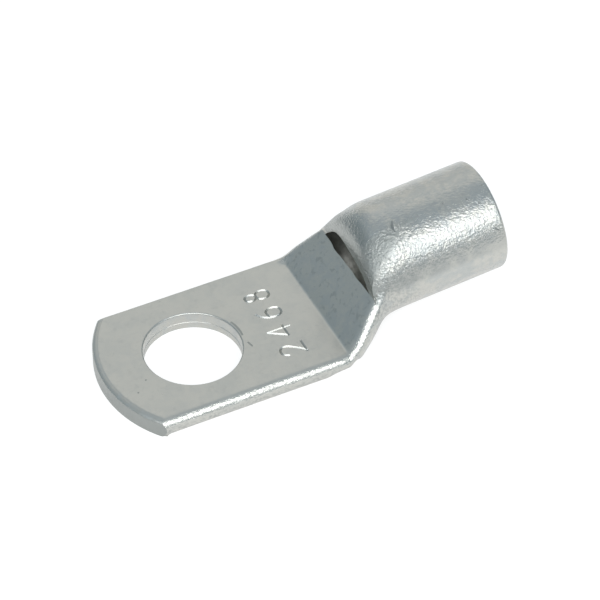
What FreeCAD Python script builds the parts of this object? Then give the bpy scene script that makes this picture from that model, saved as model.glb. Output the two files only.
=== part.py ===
import FreeCAD, Part
import math
import os

import Sketcher
from FreeCAD import Placement, Rotation, Vector

# A cable lug pressed from one length of tube. The origin is the middle of the stud hole
# on the palm's underside, +X runs to the barrel's mouth and +Z is up.

NODE = "cable_lug"

# Driving sizes, in millimetres or degrees: alias, value, meaning
SIZES = [
    ("tube_od", 12.2, "outside diameter of the tube"),
    ("tube_wall", 1.1, "wall of the tube"),
    ("barrel_straight", 11.96, "round part of the barrel, along its axis"),
    ("barrel_rise", 4.56, "angle of the barrel's axis above the palm"),
    ("mouth_round", 0.35, "outer edge radius at the mouth"),
    ("mouth_lead", 0.25, "inner edge chamfer at the mouth"),
    ("palm_width", 17.6, "width of the flattened palm"),
    ("palm_thickness", 2.1, "both walls of the tube pressed together"),
    ("palm_side_round", 0.65, "how far the folded side edges round over"),
    ("tip_reach", 10.35, "stud hole centre to the crown of the tip"),
    ("tip_corner", 7.0, "stud hole centre to the corners of the tip"),
    ("tip_rollover", 0.3, "top edge radius that the trimming die leaves"),
    ("stud_hole", 10.5, "diameter of the hole for the stud"),
    ("stud_edge", 0.12, "edge radius that the punch leaves"),
    ("palm_reach", 14.35, "stud hole centre to the foot of the ramp"),
    ("ramp_angle", 46.8, "slope of the pressed ramp"),
    ("ramp_edge_across", 1.6, "rounding of the ramp's sides, across"),
    ("ramp_edge_down", 2.0, "rounding of the ramp's sides, downwards"),
    ("edge_run", 2.6, "length over which that rounding widens, about the ramp's foot"),
    ("lip_drop", 2.25, "crown of the barrel to crown of the opening's lip"),
    ("opening_gap", 2.5, "height of the sight opening at its middle"),
    ("pinch_gap", 0.15, "height of the cavity where the two walls part"),
    ("taper_lead", 0.9, "sides start to draw in this far before the ramp's foot"),
    ("taper_tail", 2.7, "sides meet the tube this far past the opening"),
    ("shoulder_settle", 1.8, "length after that until the tube is round"),
    ("heel_offset", 3.4, "foot of the ramp to the middle of the heel's bend"),
    ("heel_run", 4.0, "length of the heel's bend"),
    ("arch_split", 50.0, "angle at which the barrel's corner arcs meet its crown arc"),
]

doc = FreeCAD.newDocument("CableLug")
sheet = doc.addObject("Spreadsheet::Sheet", "Sizes")
for row, (alias, value, meaning) in enumerate(SIZES, start=1):
    sheet.set(f"A{row}", meaning)
    sheet.set(f"B{row}", str(value))
    sheet.setAlias(f"B{row}", alias)
doc.recompute()


def size(alias):
    """The number that the sheet holds under this alias."""
    return float(sheet.get(alias))


def mix(low, high, share):
    return low + (high - low) * share


def passed(start, end, x):
    """How far x is from start to end, as a share between 0 and 1."""
    return min(max((x - start) / (end - start), 0.0), 1.0)


def ease(start, end, x):
    """A share from 0 to 1 that is level at both ends."""
    u = passed(start, end, x)
    return u * u * (3.0 - 2.0 * u)


def settle(start, end, x):
    """A share from 0 to 1 that leaves at once and is level at its end."""
    u = passed(start, end, x)
    return u * (2.0 - u)


def stations(start, end, count):
    return [mix(start, end, step / (count - 1)) for step in range(count)]


# Heights and places along the lug that follow from the driving sizes
FLAT = math.pi / 2
tube_radius = size("tube_od") / 2
wall = size("tube_wall")
bore_radius = tube_radius - wall
palm_half = size("palm_width") / 2
palm_top = size("palm_thickness")
side_ratio = size("palm_side_round") / (palm_top / 2)
rise = math.radians(size("barrel_rise"))
slope = math.radians(size("ramp_angle"))
arch_split = math.radians(size("arch_split"))
ramp_wall = wall / math.cos(slope)

lip_crown = 2 * tube_radius - size("lip_drop")
ramp_top = lip_crown - wall - size("opening_gap")
fold_x = size("palm_reach")
lip_x = fold_x + (ramp_top - palm_top) / math.tan(slope)
parting_x = fold_x + (size("pinch_gap") + wall + ramp_wall - palm_top) / math.tan(slope)
edge_start = fold_x - size("edge_run") / 2
edge_end = fold_x + size("edge_run") / 2
taper_start = fold_x - size("taper_lead")
taper_end = lip_x + size("taper_tail")
round_x = taper_end + size("shoulder_settle")
heel_x = fold_x + size("heel_offset")
plain_end = min(edge_start, taper_start)
blank_end = -size("tip_reach") - palm_top


def underside(x):
    """Height of the bottom line: level palm, bent heel, straight barrel."""
    half_run = size("heel_run") / 2
    past = x - (heel_x - half_run)
    if past <= 0:
        return 0.0
    if x < heel_x + half_run:
        return math.tan(rise) * past ** 2 / (4 * half_run)
    return math.tan(rise) * (x - heel_x)


def half_width(x):
    """Half the width in plan, from the palm to the round tube."""
    return mix(palm_half, tube_radius, ease(taper_start, taper_end, x))


def lower_ratio(x):
    """Width over height of the lower corners: a folded edge that grows round."""
    return mix(side_ratio, 1.0, ease(taper_start, round_x, x))


def station(x, tilt):
    """Plane across the lug at x: its X is the lug's Y, its Y leans back by tilt."""
    up = Vector(-math.sin(tilt), 0, math.cos(tilt))
    along = Vector(math.cos(tilt), 0, math.sin(tilt))
    return Placement(Vector(x, 0, underside(x)), Rotation(Vector(0, 1, 0), up, along, "XYZ"))


def corner_arc(centre, across, down, split):
    """Arc of a quarter ellipse from its side, up to the angle split."""
    side = centre + Vector(across, 0, 0)
    meet = centre + Vector(across * math.cos(split), down * math.sin(split), 0)
    if math.isclose(across, down):
        middle = centre + Vector(math.cos(split / 2), math.sin(split / 2), 0) * down
        return Part.Arc(side, middle, meet).toShape()
    top = centre + Vector(0, down, 0)
    axis_ends = (side, top) if across > down else (top, centre - Vector(across, 0, 0))
    curve = Part.Ellipse(axis_ends[0], axis_ends[1], centre)
    start, end = sorted((curve.parameter(side), curve.parameter(meet)))
    if end - start > math.pi:
        start, end = end - 2 * math.pi, start
    return Part.ArcOfEllipse(curve, start, end).toShape()


def half_section(half, height, ratio, split, level):
    """Right corner and crown above level, which meet smoothly.

    ratio is the corner's width over its height. split is where on the corner the crown
    starts: at a right angle the crown is flat, and below that it is an arc.
    """
    lean = ratio * math.tan(split)
    sag = 0.0 if split == FLAT else math.sqrt(1 + lean ** 2) - lean
    down = (height - half * sag) / (math.sin(split) - ratio * (1 - math.cos(split)) * sag)
    across = ratio * down
    corner = corner_arc(Vector(half - across, level, 0), across, down, split)
    meet_x = half - across + across * math.cos(split)
    meet_y = level + down * math.sin(split)
    right, left = Vector(meet_x, meet_y, 0), Vector(-meet_x, meet_y, 0)
    if split == FLAT:
        return corner, Part.makeLine(right, left)
    return corner, Part.Arc(right, Vector(0, level + height, 0), left).toShape()


def closed_section(upper, lower, level, place):
    """Wire of six edges: the lower half is drawn upwards and then turned over."""
    middle, across, down = Vector(0, level, 0), Vector(1, 0, 0), Vector(0, 1, 0)
    lower_corner, base = [edge.mirror(middle, down) for edge in lower]
    wire = Part.Wire([
        upper[0], upper[1], upper[0].mirror(middle, across),
        lower_corner.mirror(middle, across), base, lower_corner,
    ])
    wire.Placement = place
    return wire


def pressed_sizes(x):
    """Springing level and upper corner of the flat-topped section at x."""
    top = palm_top + max(x - fold_x, 0.0) * math.tan(slope)
    down = mix(palm_top / 2, size("ramp_edge_down"), ease(fold_x, lip_x, x))
    across = mix(size("palm_side_round"), size("ramp_edge_across"), ease(edge_start, edge_end, x))
    return top - underside(x) - down, across, down


def pressed_outside(x):
    level, across, down = pressed_sizes(x)
    half = half_width(x)
    upper = half_section(half, down, across / down, FLAT, level)
    lower = half_section(half, level, lower_ratio(x), FLAT, level)
    return closed_section(upper, lower, level, station(x, 0))


def pressed_inside(x):
    """The cavity under the ramp: the outer section drawn in by the wall."""
    level, across, down = pressed_sizes(x)
    shrink = (level + down - ramp_wall - wall) / (level + down)
    half = half_width(x) - wall
    inner_level = wall + level * shrink
    upper = half_section(half, down * shrink, across / down, FLAT, inner_level)
    lower = half_section(half, level * shrink, lower_ratio(x), FLAT, inner_level)
    return closed_section(upper, lower, inner_level, station(x, 0))


lip_level = pressed_sizes(lip_x)[0]


def barrel_section(x, inset):
    """Arched section between the opening's lip and the round tube, drawn in by inset."""
    share = settle(lip_x, round_x, x)
    level = mix(lip_level, tube_radius, share)
    crown = mix(lip_crown - underside(lip_x), 2 * tube_radius, share)
    half = half_width(x) - inset
    lower_split = mix(FLAT, arch_split, share) if share > 0 else FLAT
    upper = half_section(half, crown - level - inset, 1.0, arch_split, level)
    lower = half_section(half, level - inset, lower_ratio(x), lower_split, level)
    return closed_section(upper, lower, level, station(x, rise * share))


def loft(sections):
    return Part.makeLoft(sections, True, False)


round_place = station(round_x, rise)
round_centre = round_place.multVec(Vector(0, tube_radius, 0))
barrel_axis = round_place.Rotation.multVec(Vector(0, 0, 1))
mouth_centre = round_centre + barrel_axis * size("barrel_straight")


def pressed_tube():
    """The tube with one end pressed flat, before it is trimmed and punched."""
    palm = Part.Face(pressed_outside(blank_end)).extrude(Vector(plain_end - blank_end, 0, 0))
    neck = loft([pressed_outside(x) for x in stations(plain_end, fold_x, 5)])
    ramp = loft([pressed_outside(x) for x in stations(fold_x, lip_x, 7)])
    shoulder = loft([barrel_section(x, 0) for x in stations(lip_x, round_x, 9)])
    barrel = Part.makeCylinder(tube_radius, size("barrel_straight"), round_centre, barrel_axis)
    outside = palm.multiFuse([neck, ramp, shoulder, barrel])

    pocket = loft([pressed_inside(x) for x in stations(parting_x, lip_x, 5)])
    throat = loft([barrel_section(x, wall) for x in stations(lip_x, round_x, 9)])
    bore_length = size("barrel_straight") + wall
    bore = Part.makeCylinder(bore_radius, bore_length, round_centre, barrel_axis)
    return outside.cut(pocket.multiFuse([throat, bore])).Solids[0]


# The pressed blank, which the body then trims, punches and rounds
blank = doc.addObject("Part::Feature", "PressedTube")
blank.Shape = pressed_tube()
blank.Placement = Placement()

body = doc.addObject("PartDesign::Body", "Lug")
body.Label = NODE
body.BaseFeature = blank
body.Placement = Placement()
doc.recompute()


def new_sketch(name, role):
    sketch = body.newObject("Sketcher::SketchObject", name)
    plane = next(feature for feature in body.Origin.OriginFeatures if feature.Role == role)
    sketch.AttachmentSupport = [(plane, "")]
    sketch.MapMode = "FlatFace"
    return sketch


def draw_loop(sketch, arc, corners):
    """Closes an arc with straight lines through the corners, from its end to its start."""
    points = [arc.EndPoint] + corners + [arc.StartPoint]
    sketch.addGeometry(arc, False)
    for start, end in zip(points, points[1:]):
        sketch.addGeometry(Part.LineSegment(start, end), False)
    last = len(points) - 1
    for number in range(last):
        sketch.addConstraint(Sketcher.Constraint("Coincident", number, 2, number + 1, 1))
    sketch.addConstraint(Sketcher.Constraint("Coincident", last, 2, 0, 1))


def bind(sketch, name, expression, *constraint):
    """Adds a dimension, names it and ties it to the sheet."""
    index = sketch.addConstraint(Sketcher.Constraint(*constraint))
    sketch.renameConstraint(index, name)
    sketch.setExpression(f"Constraints.{name}", expression)


def pocket_through(name, sketch):
    pocket = body.newObject("PartDesign::Pocket", name)
    pocket.Profile = sketch
    pocket.Type = "ThroughAll"
    pocket.Midplane = True
    doc.recompute()
    return pocket


# The tip is an arc through its crown and its two corners
tip_sag = size("tip_reach") - size("tip_corner")
tip_radius = (palm_half ** 2 + tip_sag ** 2) / (2 * tip_sag)
tip_centre = tip_radius - size("tip_reach")
SAG = "(Sizes.tip_reach - Sizes.tip_corner)"
TIP_RADIUS = f"(Sizes.palm_width ^ 2 / 4 + {SAG} ^ 2) / (2 * {SAG})"
TIP_CENTRE = f"{TIP_RADIUS} - Sizes.tip_reach"


def trim_tip():
    """Cuts the blank's end away outside the tip's arc."""
    corner_x = -size("tip_corner")
    out_x, out_y = blank_end - palm_top, palm_half + palm_top
    half_angle = math.asin(palm_half / tip_radius)
    if tip_centre < corner_x:
        half_angle = math.pi - half_angle
    circle = Part.Circle(Vector(tip_centre, 0, 0), Vector(0, 0, 1), tip_radius)
    arc = Part.ArcOfCircle(circle, math.pi - half_angle, math.pi + half_angle)
    sketch = new_sketch("TipOutline", "XY_Plane")
    draw_loop(sketch, arc, [
        Vector(corner_x, -out_y, 0), Vector(out_x, -out_y, 0),
        Vector(out_x, out_y, 0), Vector(corner_x, out_y, 0),
    ])
    for line in (1, 3, 5):
        sketch.addConstraint(Sketcher.Constraint("Vertical", line))
    for line in (2, 4):
        sketch.addConstraint(Sketcher.Constraint("Horizontal", line))
    sketch.addConstraint(Sketcher.Constraint("PointOnObject", 0, 3, -1))
    trim_reach = "Sizes.tip_reach + 2 * Sizes.palm_thickness"
    trim_side = "Sizes.palm_width / 2 + Sizes.palm_thickness"
    bind(sketch, "TipRadius", TIP_RADIUS, "Radius", 0, tip_radius)
    bind(sketch, "TipCentre", TIP_CENTRE, "DistanceX", -1, 1, 0, 3, tip_centre)
    bind(sketch, "TipCorner", "Sizes.tip_corner", "DistanceX", 0, 1, -1, 1, -corner_x)
    bind(sketch, "TrimReach", trim_reach, "DistanceX", 2, 2, -1, 1, -out_x)
    bind(sketch, "TrimRight", trim_side, "DistanceY", 2, 2, -1, 1, out_y)
    bind(sketch, "TrimLeft", trim_side, "DistanceY", -1, 1, 3, 2, out_y)
    return pocket_through("TrimmedTip", sketch)


def punch_stud_hole():
    sketch = new_sketch("StudCircle", "XY_Plane")
    circle = Part.Circle(Vector(0, 0, 0), Vector(0, 0, 1), size("stud_hole") / 2)
    sketch.addGeometry(circle, False)
    sketch.addConstraint(Sketcher.Constraint("Coincident", 0, 3, -1, 1))
    bind(sketch, "StudHole", "Sizes.stud_hole", "Diameter", 0, size("stud_hole"))
    return pocket_through("StudHole", sketch)


def roll_tip_edge():
    """Rounds the tip's top edge with a profile turned about the tip arc's centre."""
    radius, reach = size("tip_rollover"), size("tip_reach")
    circle = Part.Circle(Vector(radius - reach, palm_top - radius, 0), Vector(0, 0, 1), radius)
    arc = Part.ArcOfCircle(circle, math.pi / 2, math.pi)
    sketch = new_sketch("TipEdgeProfile", "XZ_Plane")
    draw_loop(sketch, arc, [Vector(-reach, palm_top, 0)])
    sketch.addConstraint(Sketcher.Constraint("Vertical", 1))
    sketch.addConstraint(Sketcher.Constraint("Horizontal", 2))
    bind(sketch, "Rollover", "Sizes.tip_rollover", "Radius", 0, radius)
    bind(sketch, "RolloverAcross", "Sizes.tip_rollover", "DistanceX", 2, 1, 2, 2, radius)
    bind(sketch, "RolloverDown", "Sizes.tip_rollover", "DistanceY", 1, 1, 1, 2, radius)
    bind(sketch, "EdgeReach", "Sizes.tip_reach", "DistanceX", 1, 2, -1, 1, reach)
    bind(sketch, "EdgeHeight", "Sizes.palm_thickness", "DistanceY", -1, 1, 1, 2, palm_top)
    foot, head = Vector(tip_centre, 0, 0), Vector(tip_centre, palm_top, 0)
    axis = sketch.addGeometry(Part.LineSegment(foot, head), True)
    sketch.addConstraint(Sketcher.Constraint("Vertical", axis))
    sketch.addConstraint(Sketcher.Constraint("PointOnObject", axis, 1, -1))
    bind(sketch, "AxisPlace", TIP_CENTRE, "DistanceX", -1, 1, axis, 1, tip_centre)
    bind(sketch, "AxisHeight", "Sizes.palm_thickness", "DistanceY", axis, 1, axis, 2, palm_top)
    groove = body.newObject("PartDesign::Groove", "RolledTipEdge")
    groove.Profile = sketch
    groove.ReferenceAxis = (sketch, ["Axis0"])
    groove.Midplane = True
    groove.setExpression("Angle", f"2 * asin(Sizes.palm_width / 2 / ({TIP_RADIUS}))")
    doc.recompute()
    return groove


CLOSE = 1e-3


def on_stud_rim(point):
    from_axis = math.hypot(point.x, point.y)
    return abs(point.z - palm_top) < CLOSE and abs(from_axis - size("stud_hole") / 2) < CLOSE


def on_mouth(point, radius):
    from_centre = point - mouth_centre
    return abs(from_centre.dot(barrel_axis)) < CLOSE and abs(from_centre.Length - radius) < CLOSE


def dress(kind, name, base, test, prop, expression):
    """Rounds or chamfers each edge of which every sampled point passes the test."""
    edges = [
        f"Edge{number}" for number, edge in enumerate(base.Shape.Edges, start=1)
        if all(test(point) for point in edge.discretize(5))
    ]
    feature = body.newObject(kind, name)
    feature.Base = (base, edges)
    feature.setExpression(prop, expression)
    doc.recompute()
    return feature


trimmed = trim_tip()
punched = punch_stud_hole()
rolled = roll_tip_edge()
stud_rim = dress("PartDesign::Fillet", "StudRim", rolled, on_stud_rim, "Radius", "Sizes.stud_edge")
mouth_outer = dress(
    "PartDesign::Fillet", "MouthOuter", stud_rim,
    lambda point: on_mouth(point, tube_radius), "Radius", "Sizes.mouth_round",
)
mouth_inner = dress(
    "PartDesign::Chamfer", "MouthInner", mouth_outer,
    lambda point: on_mouth(point, bore_radius), "Size", "Sizes.mouth_lead",
)
body.Tip = mouth_inner
doc.recompute()

for item in doc.Objects:
    if "Invalid" in item.State or "Error" in item.State:
        raise RuntimeError(f"{item.Name} failed: {item.State}")
steps = [blank, trimmed, punched, rolled, stud_rim, mouth_outer, mouth_inner]
for before, after in zip(steps, steps[1:]):
    if after.Shape.Volume >= before.Shape.Volume:
        raise RuntimeError(f"{after.Name} took nothing off")
if body.Shape.isNull() or not body.Shape.isValid() or len(body.Shape.Solids) != 1:
    raise RuntimeError(f"{NODE} isn't one valid solid")

os.makedirs("parts", exist_ok=True)
body.Shape.exportStep(f"parts/{NODE}.step")
print(NODE, round(body.Shape.Volume, 2), body.Shape.BoundBox)
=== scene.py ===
import math

import bmesh
import bpy
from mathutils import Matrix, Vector, noise


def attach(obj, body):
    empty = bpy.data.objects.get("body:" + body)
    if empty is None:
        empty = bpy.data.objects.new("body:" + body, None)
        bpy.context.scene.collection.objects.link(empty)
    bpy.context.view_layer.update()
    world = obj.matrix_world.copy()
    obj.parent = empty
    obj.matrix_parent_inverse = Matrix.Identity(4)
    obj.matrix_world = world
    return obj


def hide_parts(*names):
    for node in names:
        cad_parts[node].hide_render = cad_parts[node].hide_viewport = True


bl_info = {
    "name": "Pressed Cable Lug",
    "version": (1, 0, 0),
    "blender": (4, 5, 0),
    "location": "View3D > Sidebar > Lug",
    "description": "Builds a tinned copper cable lug pressed from tube, on a pale studio floor",
    "category": "Add Mesh",
}

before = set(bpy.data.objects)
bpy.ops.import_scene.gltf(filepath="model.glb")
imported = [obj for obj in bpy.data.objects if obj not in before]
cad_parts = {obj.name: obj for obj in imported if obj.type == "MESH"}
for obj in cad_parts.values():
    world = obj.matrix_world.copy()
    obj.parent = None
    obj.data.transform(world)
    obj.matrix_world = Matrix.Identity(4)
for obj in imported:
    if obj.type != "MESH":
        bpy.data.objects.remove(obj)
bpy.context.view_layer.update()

NODE = "cable_lug"
MM = 0.001
FLAT = math.pi / 2
OUTSIDE, CUT, BORE, NICK = 0, 1, 2, 3

# Press forms that only the scene has
FOOT_BEND = 0.16 * MM
NEAR_FOOT_BEND = 1.1 * MM
FAR_EDGE_DOWN = 1.3 * MM
FAR_EDGE_ACROSS = 1.25 * MM
FAR_LIP_ACROSS = 0.95 * MM
FULLER_TAPER = 0.2 * MM
WIDER_BEND = 2.0
SHOULDER_RUN = 1.7 * MM
SHOULDER_PULL = 0.3 * MM
KNEE = 0.985
LIP_ROUND = 0.75 * MM
TIP_BURR = 0.12 * MM
WORN_CORNER = 0.16 * MM
STUD_FLARE = 0.08 * MM


def length_of(name, description, millimetres):
    """A property that holds a length, given in millimetres."""
    return bpy.props.FloatProperty(
        name=name, description=description, default=millimetres * MM, unit="LENGTH", precision=5)


def angle_of(name, description, degrees):
    """A property that holds an angle, given in degrees."""
    return bpy.props.FloatProperty(
        name=name, description=description, default=math.radians(degrees), subtype="ANGLE")


def tone_of(name, description, colour):
    """A property that holds the colour of a surface."""
    return bpy.props.FloatVectorProperty(
        name=name, description=description, default=colour, size=3, subtype="COLOR", min=0.0, max=1.0)


class LugSizes(bpy.types.PropertyGroup):
    """Sizes of the lug; all but the tip's roll, the near fold and the stamps are the CAD model's"""
    tube_od: length_of("Tube diameter", "Outside diameter of the tube", 12.2)
    tube_wall: length_of("Tube wall", "Wall of the tube", 1.1)
    barrel_straight: length_of("Round barrel", "Round part of the barrel along its axis", 11.96)
    barrel_rise: angle_of("Barrel rise", "Angle of the barrel above the palm", 4.56)
    mouth_round: length_of("Mouth rounding", "Outer edge radius at the mouth", 0.35)
    mouth_lead: length_of("Mouth chamfer", "Inner edge chamfer at the mouth", 0.25)
    palm_width: length_of("Palm width", "Width of the flattened palm", 17.6)
    palm_thickness: length_of("Palm thickness", "Both walls of the tube pressed together", 2.1)
    palm_side_round: length_of("Palm side rounding", "How far the folded side edges round over", 0.65)
    tip_reach: length_of("Tip reach", "Stud hole centre to the crown of the tip", 10.35)
    tip_corner: length_of("Tip corner", "Stud hole centre to the corners of the tip", 7.0)
    tip_rollover: length_of("Tip rollover", "How far back the trimming die rolls the top edge", 0.85)
    tip_droop: length_of("Tip droop", "How far down the trimming die rolls the top edge", 0.42)
    stud_hole: length_of("Stud hole", "Diameter of the hole for the stud", 10.5)
    stud_edge: length_of("Stud hole edge", "Edge radius that the punch leaves", 0.12)
    palm_reach: length_of("Palm reach", "Stud hole centre to the foot of the ramp", 14.35)
    ramp_angle: angle_of("Ramp angle", "Slope of the pressed ramp", 46.8)
    ramp_edge_across: length_of("Ramp edge across", "Rounding of the ramp's sides, across", 1.6)
    ramp_edge_down: length_of("Ramp edge down", "Rounding of the ramp's sides, downwards", 2.0)
    edge_run: length_of("Edge run", "Length over which that rounding widens", 2.6)
    lip_drop: length_of("Lip drop", "Crown of the barrel to crown of the opening's lip", 2.25)
    opening_gap: length_of("Opening gap", "Height of the sight opening at its middle", 2.5)
    pinch_gap: length_of("Pinch gap", "Height of the cavity where the two walls part", 0.15)
    taper_lead: length_of("Taper lead", "Sides draw in this far before the ramp's foot", 0.9)
    taper_tail: length_of("Taper tail", "Sides meet the tube this far past the opening", 2.7)
    shoulder_settle: length_of("Shoulder", "Length after that until the tube is round", 1.8)
    heel_offset: length_of("Heel offset", "Foot of the ramp to the middle of the heel's bend", 3.4)
    heel_run: length_of("Heel run", "Length of the heel's bend", 4.0)
    arch_split: angle_of("Arch split", "Angle at which the barrel's corner arcs meet its crown", 50.0)
    stamp_height: length_of("Stamp height", "Height of the stamped plain numbers", 2.7)
    near_fold: length_of("Near fold", "How far the near folded edge of the palm rounds over", 1.05)
    stamp_depth: length_of("Stamp depth", "Depth of the stamped plain numbers", 0.15)


class LugFinish(bpy.types.PropertyGroup):
    """Colours and gloss of the tinned copper"""
    tin: tone_of("Tin", "Reflected colour of the tin plating", (0.60, 0.595, 0.555))
    tin_cool: tone_of("Cool tin", "Bluish tone of the pressed patches", (0.53, 0.545, 0.53))
    # The dull tone is also painted shade on the barrel's near belly, the rolled lip and the slanted
    # shoulder patch
    dull: tone_of("Dull tin", "Tone of rubbed skin and of the trimmed tip", (0.37, 0.385, 0.37))
    pit: tone_of("Pit", "Tone of the small pits and marks", (0.22, 0.235, 0.235))
    bore_tin: tone_of("Bore", "Tone of the tin inside the barrel", (0.58, 0.58, 0.54))
    gloss: bpy.props.FloatProperty(
        name="Roughness", description="Mean roughness of the tin",
        default=0.34, min=0.0, max=1.0, subtype="FACTOR")


class LugStage(bpy.types.PropertyGroup):
    """Floor, lamps and camera"""
    floor_size: bpy.props.FloatProperty(
        name="Floor", description="Length of the floor's sides",
        default=4.0, unit="LENGTH")
    key_power: bpy.props.FloatProperty(
        name="Key lamp", description="Power of the softbox in front of the lug",
        default=2.05, unit="POWER")
    back_power: bpy.props.FloatProperty(
        name="Back lamp", description="Power of the softbox behind the lug",
        default=0.52, unit="POWER")
    sky: bpy.props.FloatProperty(
        name="Room light", description="Strength of the studio room's light",
        default=1.0, min=0.0)
    azimuth: angle_of("Azimuth", "Turn of the view about the vertical", 26.21)
    elevation: angle_of("Elevation", "Height of the view above the floor", 44.18)
    distance: bpy.props.FloatProperty(
        name="Distance", description="Camera to the point that it looks at",
        default=0.323617, unit="LENGTH", precision=5)
    focal_length: bpy.props.FloatProperty(
        name="Focal length", description="Focal length of the lens in millimetres",
        default=180.0, unit="CAMERA")


def mix(low, high, share):
    return low + (high - low) * share


def passed(start, end, x):
    """How far x is from start to end, as a share between 0 and 1."""
    return min(max((x - start) / (end - start), 0.0), 1.0)


def ease(start, end, x):
    """A share from 0 to 1 that is level at both ends."""
    u = passed(start, end, x)
    return u * u * (3.0 - 2.0 * u)


def settle(start, end, x):
    """A share from 0 to 1 that leaves at once and is level at its end."""
    u = passed(start, end, x)
    return u * (2.0 - u)


def stations(start, end, pitch):
    """Evenly spaced places from start to end, about a pitch apart."""
    count = max(1, round((end - start) / pitch))
    return [mix(start, end, step / count) for step in range(count + 1)]


def stations_through(places, pitches):
    """Stations through all the places; each stretch has its own pitch in millimetres."""
    marks = [places[0]]
    for start, end, pitch in zip(places, places[1:], pitches):
        marks += stations(start, end, pitch * MM)[1:]
    return marks


def quarter_outline(half, height, ratio, split, corner_steps, crown_steps):
    """Points from the side at the level line to the middle of the crown."""
    lean = ratio * math.tan(split) if split < FLAT else 0.0
    sag = math.sqrt(1 + lean ** 2) - lean if split < FLAT else 0.0
    down = (height - half * sag) / (math.sin(split) - ratio * (1 - math.cos(split)) * sag)
    across = ratio * down
    points = []
    for step in range(corner_steps + 1):
        turn = split * step / corner_steps
        points.append((half - across + across * math.cos(turn), down * math.sin(turn)))
    meet_y, meet_z = points[-1]
    if split < FLAT:
        rise = height - meet_z
        radius = (meet_y ** 2 + rise ** 2) / (2 * rise)
        reach = math.asin(min(meet_y / radius, 1.0))
        for step in range(1, crown_steps + 1):
            turn = mix(reach, 0.0, step / crown_steps)
            points.append((radius * math.sin(turn), height - radius + radius * math.cos(turn)))
    else:
        for step in range(1, crown_steps + 1):
            points.append((mix(meet_y, 0.0, step / crown_steps), height))
    return points


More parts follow.
